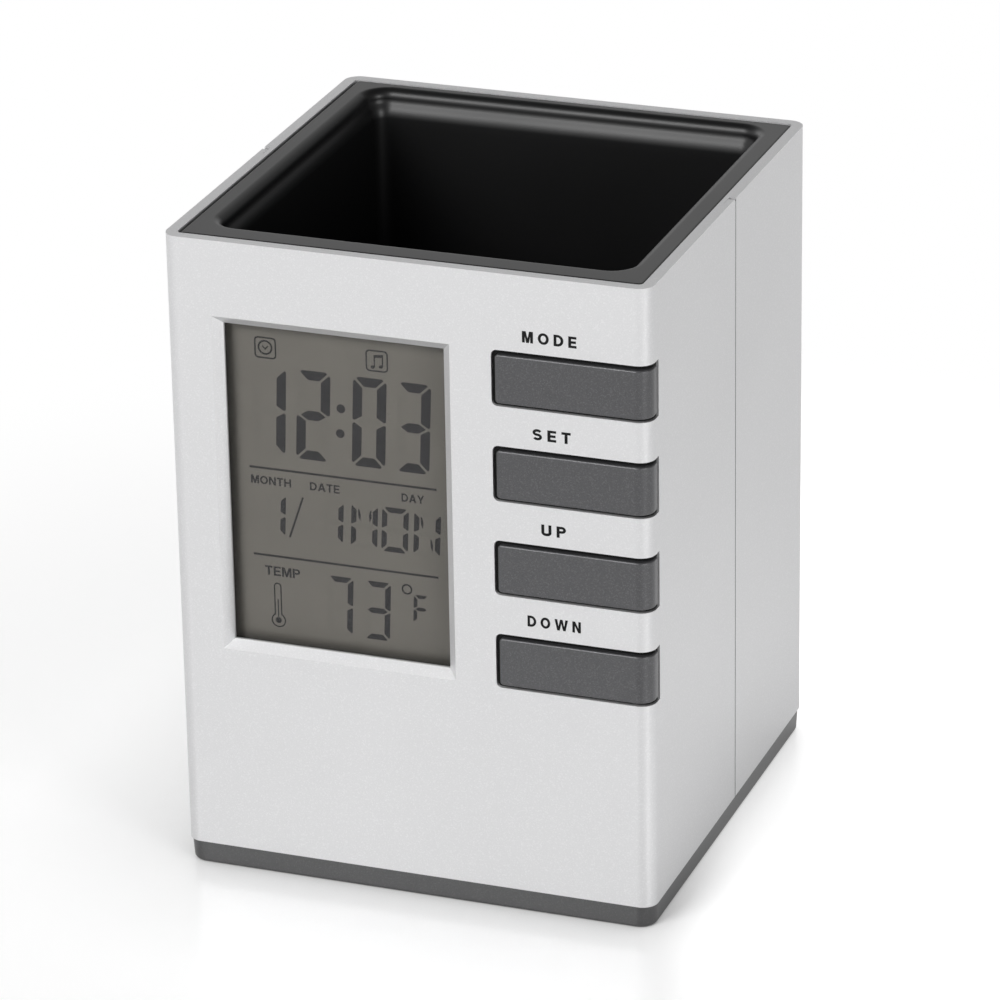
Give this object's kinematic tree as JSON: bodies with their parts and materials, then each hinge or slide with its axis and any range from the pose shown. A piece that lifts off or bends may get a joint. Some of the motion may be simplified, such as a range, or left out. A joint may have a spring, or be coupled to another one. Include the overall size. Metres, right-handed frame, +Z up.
{
  "type": "pen holder clock",
  "caption": "Square desk pen holder with an open cup, a digital clock and calendar display in its front wall, keys round one corner and a battery door underneath.",
  "frame": {"origin": "on the table under the middle of the whole object", "axes": "+Z up, -Y towards the display and keys, +X to the viewer's right"},
  "size_m": [0.078, 0.079, 0.1058],
  "materials": {
    "silver_paint": "moulded ABS, sprayed satin silver with fine flake",
    "key_plastic": "moulded ABS, sprayed dark metallic grey",
    "cup_plastic": "moulded black ABS, smooth satin",
    "base_plastic": "moulded ABS, dark metallic grey",
    "clear_plastic": "clear acrylic, polished",
    "display_glass": "thin display glass",
    "polariser": "grey polarising film",
    "black_plastic": "moulded black plastic",
    "white_plastic": "moulded white plastic",
    "foot_rubber": "soft black rubber",
    "strip_rubber": "pink silicone rubber strip",
    "board": "glass-epoxy board with green solder mask",
    "plated_steel": "nickel-plated steel",
    "black_resin": "poured black epoxy",
    "ceramic": "fired tan ceramic",
    "cell_jacket": "plain shrink sleeve",
    "wire_red": "red PVC insulation",
    "wire_black": "black PVC insulation"
  },
  "bodies": {
    "housing": {"front_shell": "silver_paint", "rear_shell": "silver_paint", "pen_cup": "cup_plastic", "base_plate": "base_plastic", "foot_front_left": "foot_rubber", "foot_front_right": "foot_rubber", "foot_rear_left": "foot_rubber", "foot_rear_right": "foot_rubber", "base_screw_front_left": "plated_steel", "base_screw_front_right": "plated_steel", "base_screw_rear_left": "plated_steel", "base_screw_rear_right": "plated_steel", "window_lens": "clear_plastic", "front_polariser": "polariser", "lcd_front_glass": "display_glass", "lcd_rear_glass": "display_glass", "rear_reflector": "polariser", "lcd_holder": "white_plastic", "contact_strip_upper": "strip_rubber", "contact_strip_lower": "strip_rubber", "circuit_board": "board", "chip_blob": "black_resin", "buzzer": "black_plastic", "quartz_crystal": "plated_steel", "temperature_sensor": "black_resin", "chip_capacitor_1": "ceramic", "chip_capacitor_2": "ceramic", "board_screw_1": "plated_steel", "board_screw_2": "plated_steel", "board_screw_3": "plated_steel", "board_screw_4": "plated_steel", "switch_body_mode": "black_plastic", "switch_body_set": "black_plastic", "switch_body_up": "black_plastic", "switch_body_down": "black_plastic", "cell_left": "cell_jacket", "cell_right": "cell_jacket", "contact_positive": "plated_steel", "contact_negative": "plated_steel", "contact_bridge": "plated_steel", "battery_lead_red": "wire_red", "battery_lead_black": "wire_black"},
    "battery_door": {"battery_door": "base_plastic"},
    "key_mode": {"key_mode": "key_plastic", "switch_plunger_mode": "white_plastic"},
    "key_set": {"key_set": "key_plastic", "switch_plunger_set": "white_plastic"},
    "key_up": {"key_up": "key_plastic", "switch_plunger_up": "white_plastic"},
    "key_down": {"key_down": "key_plastic", "switch_plunger_down": "white_plastic"}
  },
  "joints": [
    {"name": "key_mode_press", "type": "slide", "parent": "housing", "child": "key_mode", "axis": [0, 1, 0], "range_m": [0, 0.0006], "stiffness_N_per_m": 900, "springref_m": -0.0006},
    {"name": "key_set_press", "type": "slide", "parent": "housing", "child": "key_set", "axis": [0, 1, 0], "range_m": [0, 0.0006], "stiffness_N_per_m": 900, "springref_m": -0.0006},
    {"name": "key_up_press", "type": "slide", "parent": "housing", "child": "key_up", "axis": [0, 1, 0], "range_m": [0, 0.0006], "stiffness_N_per_m": 900, "springref_m": -0.0006},
    {"name": "key_down_press", "type": "slide", "parent": "housing", "child": "key_down", "axis": [0, 1, 0], "range_m": [0, 0.0006], "stiffness_N_per_m": 900, "springref_m": -0.0006},
    {"name": "battery_door_slide", "type": "slide", "parent": "housing", "child": "battery_door", "axis": [0, 1, 0], "range_m": [0, 0.057]}
  ]
}
